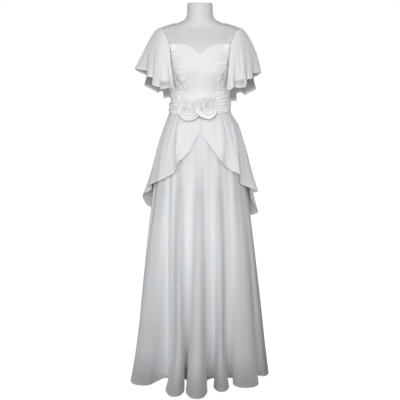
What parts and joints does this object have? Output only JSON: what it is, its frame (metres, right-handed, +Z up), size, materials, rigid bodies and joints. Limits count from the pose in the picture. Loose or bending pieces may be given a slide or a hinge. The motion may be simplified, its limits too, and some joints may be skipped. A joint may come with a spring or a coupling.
{
  "type": "wedding dress on a limbless dress form",
  "caption": "Long wedding dress with a sweetheart lace-sided bodice, flutter sleeves, pleated sash with rosettes and an open overskirt, on a dress form",
  "frame": {"origin": "on the floor, at the middle of the underside of the dress form's stand base", "axes": "+Z up; -Y towards the viewer of the dress's front; +X to that viewer's right"},
  "size_m": [0.607, 0.5005, 1.613],
  "materials": {
    "form_shell": "smooth satin-painted glass-fibre shell",
    "pole_steel": "brushed",
    "stand_enamel": "white enamel on steel plate",
    "satin": "white satin-faced chiffon, close woven",
    "lace": "beaded corded lace on a white ground",
    "sheer_lace": "sheer net with lace and small beads",
    "chiffon": "soft matt white chiffon over lining"
  },
  "bodies": {
    "root": {"bodice_back_l": "satin", "bodice_back_r": "satin", "bodice_front": "satin", "bodice_side_l": "lace", "bodice_side_r": "lace", "form_torso": "form_shell", "overskirt_l": "chiffon", "overskirt_r": "chiffon", "rosette_l": "satin", "rosette_r": "satin", "sash": "satin", "skirt_back_l": "chiffon", "skirt_back_r": "chiffon", "skirt_front": "chiffon", "sleeve_l": "chiffon", "sleeve_r": "chiffon", "stand_base": "stand_enamel", "stand_pole": "pole_steel", "stand_socket": "stand_enamel", "strap_l": "sheer_lace", "strap_r": "sheer_lace"}
  },
  "joints": []
}
